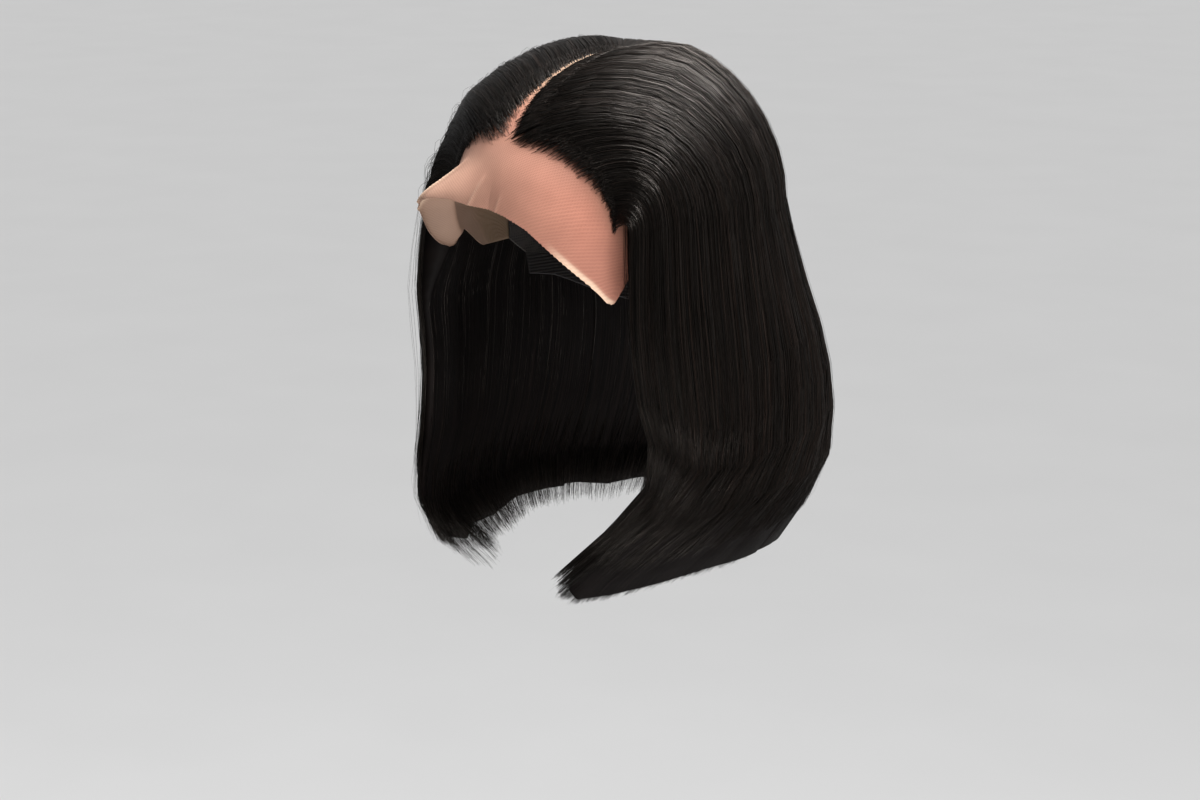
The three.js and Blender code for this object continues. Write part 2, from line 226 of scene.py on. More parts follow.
def set_ramp(ramp, stops):
    """Gives a colour ramp its stops, each a position and an sRGB hex colour."""
    elements = ramp.color_ramp.elements
    while len(elements) < len(stops):
        elements.new(0.5)
    for element, (position, colour) in zip(elements, stops):
        element.position = position
        element.color = linear(colour)


def new_piece(name, points, faces, material, plain_colour):
    """A mesh piece from arrays of points and of three- or four-cornered faces.

    Four-cornered faces are shaded smoothly and three-cornered ones, such as strands' ends, flat. Its mesh holds
    a plain finish of the same colour, and the piece wears the patterned one.
    """
    mesh = bpy.data.meshes.new(name)
    corners = np.concatenate([f.ravel() for f in faces]).astype(np.int32)
    sizes = np.concatenate([np.full(len(f), f.shape[1], np.int32) for f in faces])
    mesh.vertices.add(len(points))
    mesh.vertices.foreach_set("co", np.asarray(points, np.float32).ravel())
    mesh.loops.add(len(corners))
    mesh.loops.foreach_set("vertex_index", corners)
    mesh.polygons.add(len(sizes))
    mesh.polygons.foreach_set("loop_start", (np.cumsum(sizes) - sizes).astype(np.int32))
    mesh.polygons.foreach_set("use_smooth", sizes == 4)
    plain, _ = new_material("plain " + name, {"Base Color": linear(plain_colour), "Roughness": 0.6})
    mesh.materials.append(plain)
    mesh.update(calc_edges=True)
    piece = bpy.data.objects.new(name, mesh)
    bpy.context.scene.collection.objects.link(piece)
    piece.material_slots[0].link = "OBJECT"
    piece.material_slots[0].material = material
    return piece


def lay_map(piece, name, places):
    """Gives a piece a flat map from the place of each of its points."""
    corners = np.zeros(len(piece.data.loops), np.int32)
    piece.data.loops.foreach_get("vertex_index", corners)
    layer = piece.data.uv_layers.new(name=name)
    layer.uv.foreach_set("vector", places[corners].astype(np.float32).ravel())


def grid_piece(name, outer, inner, material, plain_colour, turned=False):
    """A closed shell between two like grids of points, each in columns of rows."""
    columns, rows = outer.shape[:2]
    o, i = np.arange(2 * columns * rows).reshape(2, columns, rows)
    quads = [
        (o[:-1, :-1], o[:-1, 1:], o[1:, 1:], o[1:, :-1]),
        (i[:-1, :-1], i[1:, :-1], i[1:, 1:], i[:-1, 1:]),
        (o[:-1, 0], o[1:, 0], i[1:, 0], i[:-1, 0]),
        (o[1:, -1], o[:-1, -1], i[:-1, -1], i[1:, -1]),
        (o[0, :-1], i[0, :-1], i[0, 1:], o[0, 1:]),
        (o[-1, :-1], o[-1, 1:], i[-1, 1:], i[-1, :-1]),
    ]
    faces = np.concatenate([np.stack([c.ravel() for c in quad], 1) for quad in quads])
    points = np.concatenate([outer.reshape(-1, 3), inner.reshape(-1, 3)])
    return new_piece(name, points, [faces[:, ::-1] if turned else faces], material, plain_colour)


# Nylon monofilament net: matt, a little brighter along its threads, and seen through between them in the free
# margin. Along its creases and its curled near corner it is tinted lighter, partly for the doubled net and
# partly as a painted highlight. Across the brow it goes from pink on the left to beige on the right, with
# painted shade darkening it towards the right. The real cells are 0.5 mm across, which is finer than a pixel,
# so they are drawn at 1.1 mm.
net_cell = 0.0011
swiss_lace, lace_shader = new_material(
    "swiss lace", {"Roughness": 0.7, "IOR": 1.53, "Specular IOR Level": 0.3}
)
lace_map = add_node(swiss_lace, "ShaderNodeUVMap", {"uv_map": "net"}).outputs["UV"]
on_the_cross = add_node(
    swiss_lace,
    "ShaderNodeMapping",
    inputs={"Rotation": (0, 0, math.radians(45)), "Scale": (1 / net_cell, 1 / net_cell, 1)},
    links={"Vector": lace_map},
)
cells = add_node(
    swiss_lace,
    "ShaderNodeTexVoronoi",
    {"voronoi_dimensions": "2D", "feature": "DISTANCE_TO_EDGE"},
    {"Scale": 1.0, "Randomness": 0.2},
    {"Vector": on_the_cross.outputs["Vector"]},
)
threads = add_node(
    swiss_lace,
    "ShaderNodeMapRange",
    inputs={"From Min": 0.10, "From Max": 0.34, "To Min": 1.0, "To Max": 0.0},
    links={"Value": cells.outputs["Distance"]},
)
place_in_model = add_node(swiss_lace, "ShaderNodeTexCoord").outputs["Object"]
apart = add_node(swiss_lace, "ShaderNodeSeparateXYZ", links={"Vector": place_in_model})
backwards = add_node(
    swiss_lace,
    "ShaderNodeMapRange",
    inputs={"From Min": -0.088, "From Max": -0.02},
    links={"Value": apart.outputs["Y"]},
)
along_part = add_node(swiss_lace, "ShaderNodeValToRGB", links={"Fac": backwards.outputs["Result"]})
set_ramp(along_part, [(0.0, "#80594a"), (0.3, "#6e4738"), (0.62, "#624a39"), (1.0, "#5a4838")])
to_the_left = add_node(
    swiss_lace,
    "ShaderNodeMapRange",
    inputs={"From Min": -0.07, "From Max": 0.05},
    links={"Value": apart.outputs["X"]},
)
# Painted shade: the margin's tint, pink on the left and beige on the right, is darkened towards the right.
brow_tint_and_shade = add_node(swiss_lace, "ShaderNodeValToRGB", links={"Fac": to_the_left.outputs["Result"]})
set_ramp(brow_tint_and_shade, [(0.0, "#6a5547"), (0.4, "#916d5c"), (1.0, "#94604f")])
lie_map = add_node(swiss_lace, "ShaderNodeUVMap", {"uv_map": "lie"}).outputs["UV"]
lie = add_node(swiss_lace, "ShaderNodeSeparateXYZ", links={"Vector": lie_map})
margin = add_node(
    swiss_lace,
    "ShaderNodeMapRange",
    inputs={"From Min": 0.66, "From Max": 0.80},
    links={"Value": lie.outputs["Y"]},
)
flesh = add_node(
    swiss_lace,
    "ShaderNodeMixRGB",
    links={
        "Fac": margin.outputs["Result"],
        "Color1": along_part.outputs["Color"],
        "Color2": brow_tint_and_shade.outputs["Color"],
    },
)
mottle = add_node(
    swiss_lace, "ShaderNodeTexNoise", inputs={"Scale": 60.0, "Detail": 3.0}, links={"Vector": place_in_model}
)
shade = add_node(
    swiss_lace,
    "ShaderNodeMapRange",
    inputs={"From Min": 0.3, "From Max": 0.7, "To Min": 0.94, "To Max": 1.05},
    links={"Value": mottle.outputs["Fac"]},
)
tinted = add_node(
    swiss_lace,
    "ShaderNodeHueSaturation",
    links={"Color": flesh.outputs["Color"], "Value": shade.outputs["Result"]},
)
# Lighter tint along the creases and the curled corner: partly the doubled net, partly a painted highlight.
doubled_and_highlit = add_node(
    swiss_lace,
    "ShaderNodeMixRGB",
    inputs={"Color2": linear("#dcc3a8")},
    links={"Fac": lie.outputs["X"], "Color1": tinted.outputs["Color"]},
)
holes = add_node(
    swiss_lace,
    "ShaderNodeMapRange",
    inputs={"To Min": 0.82, "To Max": 1.0},
    links={"Value": threads.outputs["Result"]},
)
cover = add_node(
    swiss_lace,
    "ShaderNodeMix",
    {"data_type": "FLOAT"},
    {"A": 1.0},
    {"Factor": margin.outputs["Result"], "B": holes.outputs["Result"]},
)
net_relief = add_node(
    swiss_lace,
    "ShaderNodeBump",
    inputs={"Strength": 0.3, "Distance": 0.0003},
    links={"Height": threads.outputs["Result"]},
)
swiss_lace.node_tree.links.new(doubled_and_highlit.outputs["Color"], lace_shader.inputs["Base Color"])
swiss_lace.node_tree.links.new(cover.outputs[0], lace_shader.inputs["Alpha"])
swiss_lace.node_tree.links.new(net_relief.outputs["Normal"], lace_shader.inputs["Normal"])

place = np.linspace(-1, 1, lace_columns + 1)[:, None]
share = (1 - (1 - np.linspace(0, 1, lace_rows + 1)) ** 1.4)[None, :]
place, share = np.broadcast_arrays(place, share)
lace_top, lace_outwards = lace_surface(place, share)
edge_length = np.linalg.norm(np.diff(lace_top[:, -1], axis=0), axis=1).cumsum()
edge_length = np.concatenate([[0], edge_length])
tooth = np.abs((edge_length / tooth_pitch) % 1 - 0.5) * 2
inwards = unit(lace_top[:, -3] - lace_top[:, -1])
for row, pull in ((-1, 1.0), (-2, 0.35)):
    lace_top[:, row] += inwards * (tooth * tooth_depth * pull)[:, None]
lace = grid_piece(
    "lace_front_net", lace_top, lace_top - lace_outwards * net_thickness, swiss_lace, "#c9a58c"
)
down_length = np.linalg.norm(np.diff(lace_top, axis=1), axis=-1).cumsum(1)
down_length = np.concatenate([np.zeros((lace_columns + 1, 1)), down_length], 1)
across_length = np.linalg.norm(np.diff(lace_top, axis=0), axis=-1).cumsum(0)
across_length = np.concatenate([np.zeros((1, lace_rows + 1)), across_length])
across_length = across_length - across_length[lace_columns // 2]
net_places = np.stack([across_length, down_length], -1).reshape(-1, 2)
# The near corner's edge curls outwards, which doubles the lace there as its creases do. The lighter tint there
# and along the creases is partly the doubled net and partly a painted highlight.
curl_doubling_and_highlight = 0.6 * ease(0.968, 0.985, share) * ease(0.30, 0.42, place) * (1 - ease(0.56, 0.60, place))
doubling_and_highlight = sum(220 * crease["height"] * crease_ridge(crease, place, share) ** 3 for crease in lace_creases)
lie_places = np.stack([np.clip(doubling_and_highlight + curl_doubling_and_highlight, 0, 0.9), share], -1).reshape(-1, 2)
lay_map(lace, "net", np.concatenate([net_places, net_places]))
lay_map(lace, "lie", np.concatenate([lie_places, lie_places]))
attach(lace, "root")
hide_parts("lace_front")

# Cap net and nape band
# Behind the seam a dome of black stretch net carries the wefted back hair, and a strip of black woven elastic
# is sewn along its lower rim to grip the nape. Both keep the frame's own solids.
mesh_cell = 0.0016
stretch_net, net_shader = new_material(
    "polyamide stretch net", {"Roughness": 0.8, "IOR": 1.53, "Specular IOR Level": 0.3}
)
place_in_model = add_node(stretch_net, "ShaderNodeTexCoord").outputs["Object"]
cells = add_node(
    stretch_net,
    "ShaderNodeTexVoronoi",
    {"feature": "DISTANCE_TO_EDGE"},
    {"Scale": 1 / mesh_cell, "Randomness": 0.2},
    {"Vector": place_in_model},
)
yarn = add_node(stretch_net, "ShaderNodeValToRGB", links={"Fac": cells.outputs["Distance"]})
set_ramp(yarn, [(0.10, "#2b2725"), (0.35, "#0b0a0a")])
relief = add_node(
    stretch_net,
    "ShaderNodeBump",
    {"invert": True},
    {"Strength": 0.8, "Distance": 0.0005},
    {"Height": cells.outputs["Distance"]},
)
stretch_net.node_tree.links.new(yarn.outputs["Color"], net_shader.inputs["Base Color"])
stretch_net.node_tree.links.new(relief.outputs["Normal"], net_shader.inputs["Normal"])

rib_pitch = 0.0018
elastic, elastic_shader = new_material(
    "woven elastic", {"Roughness": 0.7, "IOR": 1.5, "Specular IOR Level": 0.35}
)
place_in_model = add_node(elastic, "ShaderNodeTexCoord").outputs["Object"]
ribs = add_node(
    elastic,
    "ShaderNodeTexWave",
    {"bands_direction": "Z"},
    {"Scale": 0.314 / rib_pitch, "Distortion": 0.4, "Detail": 1.0},
    {"Vector": place_in_model},
)
rib_colour = add_node(elastic, "ShaderNodeValToRGB", links={"Fac": ribs.outputs["Fac"]})
set_ramp(rib_colour, [(0.0, "#0a0909"), (1.0, "#262221")])
relief = add_node(
    elastic,
    "ShaderNodeBump",
    inputs={"Strength": 0.6, "Distance": 0.0004},
    links={"Height": ribs.outputs["Fac"]},
)
elastic.node_tree.links.new(rib_colour.outputs["Color"], elastic_shader.inputs["Base Color"])
elastic.node_tree.links.new(relief.outputs["Normal"], elastic_shader.inputs["Normal"])
for node, material in (("cap_net", stretch_net), ("nape_band", elastic)):
    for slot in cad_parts[node].material_slots:
        slot.material = material

# Hair masses
# The body of the hair in three falls: left and right of the parting, rooted in the lace, and the back, rooted
# in wefts on the cap. Each lies in locks that end in their own tips. They lie just under the loose strands.
hair_gap = 0.0008
hair_loft = 0.0006
side_volume = 0.022
front_volume = 0.022
back_volume = 0.012
crown_volume = 0.016
hair_drop = 0.297
curtain_thickness = 0.016
front_edge_thickness = 0.007
root_thickness = 0.001
tip_thickness = 0.003
lock_relief = 0.0026
parting_half_width = 0.0016
whorl_radius = 0.005
dome_share = 9 / 21
whorl_start = 0.7
curtain_drop = hair_drop - crown_rise
curtain_sections = {
    "level": [0.0, 0.23, 0.43, 0.63, 0.79, 0.91, 1.0],
    "left_side": [1.0, 1.08, 1.14, 1.18, 1.14, 1.02, 0.88],
    "right_side": [1.0, 1.08, 1.14, 1.17, 1.1, 0.95, 0.76],
    "left_front": [1.0, 1.05, 1.01, 1.01, 1.1, 1.07, 1.0],
    "right_front": [1.0, 1.05, 1.02, 1.04, 1.1, 1.01, 0.78],
    "back": [1.0, 1.13, 1.23, 1.26, 1.21, 1.01, 0.84],
    "centre": [0.0, 0.05, 0.125, 0.135, 0.095, 0.06, 0.06],
    "left_edge": [54, 51, 48, 50, 40, 29, 24],
    "right_edge": [54, 51, 49, 50, 47, 44, 42],
}
# The hair is combed forward as it falls, by a share of the way round from its front edge to the nape.
left_sweep = 0.13
right_sweep = 0.06
roots = {
    "strand": [0.0, 0.08, 0.16, 0.24, 0.3, 0.5, 0.7, 1.0],
    "turn": [82, 74, 66, 61, 59, 29, -4, -4],
    "across": [50.5, 45, 35.5, 19, 1.2, 1.2, 1.2, 1.2],
    "lift": [7, 20, 32, 41, 44, 47, 50, 50],
    "landing": [0.0, 0.05, 0.1, 0.17, 0.22, 0.4, 0.58, 1.0],
    "rise": [0.42, 0.35, 0.3, 0.27, 0.24, 0.2, 0.15, 0.17],
}
# Hair is knotted in a band behind the hairline and beside the parting, thinly at first. Its depth is a share
# of a strand, and the far side lets more of the lace show beside the parting.
root_band = {
    "strand": [0.0, 0.1, 0.22, 0.28, 0.32, 0.38, 0.46, 0.68, 0.76, 1.0],
    "left": [0.044, 0.050, 0.048, 0.042, 0.032, 0.020, 0.012, 0.008, 0.006, 0.006],
    "right": [0.044, 0.050, 0.052, 0.058, 0.056, 0.036, 0.018, 0.010, 0.006, 0.006],
}
left_locks = {
    "width": [0.7, 0.9, 1.1, 1.0, 1.2, 1.0, 1.1],
    "end": [0.89, 0.94, 1.0, 0.99, 0.97, 0.95, 0.95],
}
right_locks = {
    "width": [0.8, 0.9, 1.2, 0.9, 1.1, 1.1, 1.0],
    "end": [0.94, 0.97, 1.0, 0.98, 0.98, 0.955, 0.95],
}
back_locks = {
    "width": [1.0, 1.2, 0.9, 1.1, 1.3, 1.0, 1.2, 0.9, 1.1, 1.0],
    "end": [0.945, 0.955, 0.935, 0.95, 0.945, 0.935, 0.95, 0.94, 0.955, 0.945],
}
hair_reach = {
    "side": head_half_width + side_volume,
    "front": head_half_length + front_volume,
    "back": head_half_length + back_volume,
    "up": crown_rise + crown_volume,
    "down": nape_fall,
}
under_roots = head_reach(lace_wall + hair_gap)
under_hair = head_reach(lace_wall + hair_gap + hair_loft)
root_reach = head_reach(lace_wall + hair_gap + root_thickness)


def level(angle):
    return np.stack([np.sin(np.radians(angle)), -np.cos(np.radians(angle)), np.zeros_like(angle)], -1)


def root_direction(strand, forward, aside):
    """Where strands leave the cap. forward and aside, in metres, are how far roots stray from their line."""
    turn = read(roots, "strand", "turn", strand) + np.degrees(forward / head_half_length)
    across = read(roots, "strand", "across", strand)
    line = parting_half_width / head_half_width
    direction = facing(turn, across)
    direction[..., 0] = np.maximum(direction[..., 0], line) + aside / head_half_width
    round_whorl = np.clip((strand - whorl_start) / (1 - whorl_start), 0, 1) * math.pi / 2
    radius = whorl_radius / head_half_width
    from_middle = line + (radius - line) * np.sin(round_whorl)
    whorl = facing(turn, np.zeros_like(turn))
    whorl[..., 0] += np.cos(round_whorl) * from_middle + aside / head_half_width
    whorl[..., 1] += np.sin(round_whorl) * radius
    return unit(np.where((strand <= whorl_start)[..., None], direction, whorl))


def strand_path(strand, mirror, share, forward=0.0, aside=0.0):
    """The hair's outer and inner face and the way outwards, along strands of the left or the mirrored side."""
    strand, mirror, share, forward, aside = np.broadcast_arrays(strand, mirror, share, forward, aside)
    left = mirror > 0
    landing = read(roots, "strand", "landing", strand)
    rise = read(roots, "strand", "rise", strand)
    lift = np.radians(read(roots, "strand", "lift", strand))[..., None]
    fall = np.maximum((share - dome_share) / (1 - dome_share), 0)

    def section(column):
        return np.where(
            left,
            read(curtain_sections, "level", "left_" + column, fall),
            read(curtain_sections, "level", "right_" + column, fall),
        )

    edge_on_top = curtain_sections["left_edge"][0]
    landed = level(edge_on_top + (180 - edge_on_top) * landing)
    sweep = np.where(left, left_sweep, right_sweep) * ease(0.3, 1, fall) * 4 * landing * (1 - landing)
    edge = section("edge")
    hanging = level(edge + (180 - edge) * (landing - sweep))
    over = landed * np.cos(lift)
    over[..., 2:] = np.sin(lift)
    s = np.clip(share / dome_share, 0, 1)[..., None]
    start = root_direction(strand, forward, aside)
    direction = unit(start * (1 - s) ** 2 + over * 2 * s * (1 - s) + landed * s**2)
    volume = ease(0, 1, share / rise)[..., None]
    off_roots = ease(0, 0.06, share)[..., None]
    near = on_dome(direction, under_roots)
    dome_inner = near + (on_dome(direction, under_hair) - near) * off_roots
    dome_full = on_dome(direction, hair_reach)
    dome_thin = on_dome(direction, root_reach)
    dome_outer = dome_thin + (dome_full - dome_thin) * volume
    dome_outwards = unit(dome_full - dome_inner)

    centre = head_half_length * read(curtain_sections, "level", "centre", fall)
    drop = np.stack([np.zeros_like(fall), centre, -curtain_drop * fall], -1)
    reach = dict(hair_reach)
    reach["side"] = hair_reach["side"] * section("side")
    reach["front"] = hair_reach["front"] * section("front")
    reach["back"] = hair_reach["back"] * read(curtain_sections, "level", "back", fall)
    curtain_thin = on_dome(hanging, root_reach) + drop
    curtain_full = on_dome(hanging, reach) + drop
    curtain_outer = curtain_thin + (curtain_full - curtain_thin) * volume
    body = front_edge_thickness + (curtain_thickness - front_edge_thickness) * ease(0, 0.12, landing)
    depth = body + (tip_thickness - body) * ease(0.62, 1, fall)
    hung = ease(0, 0.3, fall)[..., None]
    at_head = on_dome(hanging, under_hair) + drop
    curtain_inner = at_head + (curtain_outer - hanging * depth[..., None] - at_head) * hung

    on_head = (share <= dome_share)[..., None]
    outer = np.where(on_head, dome_outer, curtain_outer)
    inner = np.where(on_head, dome_inner, curtain_inner)
    outwards = np.where(on_head, dome_outwards, hanging)
    flip = np.stack([mirror, np.ones_like(mirror), np.ones_like(mirror)], -1)
    return outer * flip, inner * flip, outwards * flip


def lock_starts(locks):
    return np.concatenate([[0], np.cumsum(locks["width"])]) / np.sum(locks["width"])


def lock_crest(place, locks):
    """How far a lock stands out at places across a fall of hair, from 0 in its grooves to 1."""
    starts = lock_starts(locks)
    index = np.clip(np.searchsorted(starts, place, side="right") - 1, 0, len(starts) - 2)
    s = np.clip((place - starts[index]) / (starts[index + 1] - starts[index]), 0, 1)
    return np.sin(np.pi * s) ** 0.8


def lock_end(place, locks):
    """The level at which the hair ends, on a soft line from lock to lock."""
    starts = lock_starts(locks)
    return np.interp(place, (starts[:-1] + starts[1:]) / 2, locks["end"])


def side_strand(mirror):
    return lambda place: (place * whorl_start, np.full_like(place, mirror))


def back_strand(place):
    strand = 1 + (whorl_start - 1) * np.abs(1 - 2 * place)
    return strand, np.where(place < 0.5, 1.0, -1.0)


falls = {
    "hair_left": {"locks": left_locks, "strand_at": side_strand(1.0), "turned": False, "width": 0.26},
    "hair_right": {"locks": right_locks, "strand_at": side_strand(-1.0), "turned": True, "width": 0.26},
    "hair_back": {"locks": back_locks, "strand_at": back_strand, "turned": False, "width": 0.22},
}


def band_depth(strand, mirror):
    return np.where(
        mirror > 0,
        np.interp(strand, root_band["strand"], root_band["left"]),
        np.interp(strand, root_band["strand"], root_band["right"]),
    )


# Human hair dyed off-black: a smooth, glossy fibre with a brown undertone. The mass below the loose strands is
# the same, darker where light hardly reaches, with streaks along the fall about as wide as a few fibres.
streak_width = 0.0009
streak_length = 0.08
hair_in_depth, mass_shader = new_material(
    "off-black hair in depth", {"Roughness": 0.6, "IOR": 1.55, "Specular IOR Level": 0.02}
)
fall_map = add_node(hair_in_depth, "ShaderNodeUVMap", {"uv_map": "fall"}).outputs["UV"]
streaks = add_node(
    hair_in_depth,
    "ShaderNodeTexNoise",
    inputs={"Scale": 1.0, "Detail": 3.0, "Roughness": 0.6},
    links={"Vector": fall_map},
)
streak_colour = add_node(hair_in_depth, "ShaderNodeValToRGB", links={"Fac": streaks.outputs["Fac"]})
set_ramp(streak_colour, [(0.35, "#030303"), (0.7, "#0f0b0a")])
streak_relief = add_node(
    hair_in_depth,
    "ShaderNodeBump",
    inputs={"Strength": 1.0, "Distance": 0.0008},
    links={"Height": streaks.outputs["Fac"]},
)
hair_in_depth.node_tree.links.new(streak_colour.outputs["Color"], mass_shader.inputs["Base Color"])
hair_in_depth.node_tree.links.new(streak_relief.outputs["Normal"], mass_shader.inputs["Normal"])

mass_columns = 96
mass_rows = 38
mass_below_surface = 0.0020
mass_short_of_tips = 0.04
front_edge_of_strands = 0.03
for node, fall in falls.items():
    first = 0.0 if node == "hair_back" else front_edge_of_strands
    place = np.linspace(first, 1, mass_columns + 1)[:, None]
    strand, mirror = fall["strand_at"](place)
    along = np.linspace(0, 1, mass_rows + 1)[None, :]
    rooted = band_depth(strand, mirror) + 0.02
    tip = dome_share + (1 - dome_share) * (lock_end(place, fall["locks"]) - mass_short_of_tips)
    share = rooted + (tip - rooted) * along
    outer, inner, outwards = strand_path(strand, mirror, share)
    crest = lock_crest(place, fall["locks"])
    relief = lock_relief * (crest - 1) * ease(0.1, 0.4, share) * (1 - ease(0.85, 1, share))
    settled = mass_below_surface * ease(0, 0.06, along)
    outer = outer + outwards * (relief - settled)[..., None]
    outer = outer + (inner - outer) * 0.85 * (1 - ease(0, 0.1, along))[..., None]
    closing = ease(0.86, 1.0, along)[..., None] * 0.7
    middle = (outer + inner) / 2
    outer = outer + (middle - outer) * closing
    inner = inner + (middle - inner) * closing
    mass = grid_piece(node + "_mass", outer, inner, hair_in_depth, "#0d0a09", fall["turned"])
    across = np.broadcast_to(place * fall["width"] / streak_width, share.shape)
    downwards = share * 0.36 / streak_length
    fall_places = np.stack([across, downwards], -1).reshape(-1, 2)
    lay_map(mass, "fall", np.concatenate([fall_places, fall_places]))
    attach(mass, "root")
    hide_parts(node)

# Loose strands
# The hairs that lie on and between the masses and make every edge, from the knots in the lace to the tips.
# A real hair is 0.08 mm thick, which is finer than a pixel, so each strand here stands for a few of them.
strand_width = 0.00034
knot_pitch = 0.009
curl_under = 0.007
# Points are closer together over the round of the head than in the fall.
strand_stations = np.concatenate([np.linspace(0, 0.44, 11), np.linspace(0.44, 1, 9)[1:]])
root_stations = np.linspace(0, 1, 6)
knot_row = 0.0062
hair_fibre, fibre_shader = new_material(
    "off-black hair",
    {"Roughness": 0.36, "IOR": 1.55, "Specular IOR Level": 0.1, "Specular Tint": linear("#fff0e3")},
)
# Each strand has its own place across the map, so the pattern gives it a tone of its own that varies a little
# along it.
fibre_map = add_node(hair_fibre, "ShaderNodeUVMap", {"uv_map": "fibre"}).outputs["UV"]
stretched = add_node(
    hair_fibre, "ShaderNodeMapping", inputs={"Scale": (90, 2, 1)}, links={"Vector": fibre_map}
)
tones = add_node(
    hair_fibre,
    "ShaderNodeTexNoise",
    inputs={"Scale": 1.0, "Detail": 2.0},
    links={"Vector": stretched.outputs["Vector"]},
)
fibre_colour = add_node(hair_fibre, "ShaderNodeValToRGB", links={"Fac": tones.outputs["Fac"]})
set_ramp(fibre_colour, [(0.38, "#030303"), (0.55, "#080605"), (0.72, "#17100d")])
hair_fibre.node_tree.links.new(fibre_colour.outputs["Color"], fibre_shader.inputs["Base Color"])


def strand_piece(name, paths, widths, outwards, chance):
    """One mesh of many strands, each a closed three-sided tube along its path."""
    count, steps = paths.shape[:2]
    tangent = unit(np.gradient(paths, axis=1))
    side = unit(np.cross(tangent, outwards))
    up = np.cross(side, tangent)
    roll = chance.uniform(0, 2 * math.pi, (count, 1, 1))
    spokes = [
        side * np.cos(roll + turn) + up * np.sin(roll + turn)
        for turn in (0, 2 * math.pi / 3, 4 * math.pi / 3)
    ]
    points = np.stack([paths + spoke * widths[..., None] / 2 for spoke in spokes], 2)
    at = np.arange(count * steps * 3).reshape(count, steps, 3)
    after = np.roll(at, -1, axis=2)
    quads = np.stack([at[:, :-1], after[:, :-1], after[:, 1:], at[:, 1:]], -1).reshape(-1, 4)
    caps = np.concatenate([at[:, 0, ::-1], at[:, -1]])
    piece = new_piece(name, points.reshape(-1, 3), [quads, caps], hair_fibre, "#15100e")
    column = chance.uniform(0.01, 0.99, (count, 1, 1)) + np.array([-0.002, 0.0, 0.002])
    row = np.linspace(0.01, 0.99, steps)[None, :, None]
    column, row = np.broadcast_arrays(column, row)
    fibre_places = np.stack([column, row], -1).reshape(-1, 2)
    lay_map(piece, "fibre", fibre_places)
    lay_map(piece, "OFBake", fibre_places)
    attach(piece, "root")
    return piece


def at_temple(chance, place):
    """How much further down the temple the foremost hairs are knotted."""
    return chance.uniform(0, 0.020, place.shape) * (1 - ease(0, 0.07, place))


def lie_of_roots(chance, fall, count):
    """Paths of the short part of hairs that shows over the lace, from knots in rows to under the others."""
    place = chance.integers(0, int(1 / knot_pitch), (count, 1)) * knot_pitch + 0.5 * knot_pitch
    root_strand, mirror = fall["strand_at"](place)
    rows = np.maximum(band_depth(root_strand, mirror) / knot_row, 1)
    row = np.floor(rows * chance.uniform(0, 1, (count, 1)) ** 0.42)
    start = np.maximum(row * knot_row + chance.normal(0, 0.0007, (count, 1)), 0)
    length = chance.uniform(0.025, 0.055, (count, 1))
    share = start + length * root_stations[None, :]
    own = np.broadcast_to(root_stations[None, :], share.shape)
    fanned = chance.normal(0, 0.0022, (count, 1))
    across = place + chance.normal(0, 0.0005, (count, 1)) + fanned * own
    strand, mirror = fall["strand_at"](np.clip(across, 0.0005, 0.9995))
    at_hairline = root_strand < 0.295
    forward = np.where(at_hairline, np.abs(chance.normal(0, 0.0010, (count, 1))), 0.0)
    forward = forward + at_temple(chance, place)
    aside = np.where(at_hairline, 0.0, chance.uniform(-0.0026, -0.0006, (count, 1)))
    if fall["locks"] is back_locks:
        forward = chance.uniform(0, 0.009, (count, 1))
    outer, inner, outwards = strand_path(strand, mirror, share, forward, aside)
    thickness = np.linalg.norm(outer - inner, axis=-1)
    height = thickness * 0.85 * (ease(0, 0.6, own) - 0.6 * ease(0.6, 1, own)) + hair_gap * ease(0, 0.6, own)
    height = height * ease(0, 0.03, share)
    paths = inner + outwards * (height - hair_gap)[..., None]
    return paths, outwards, own


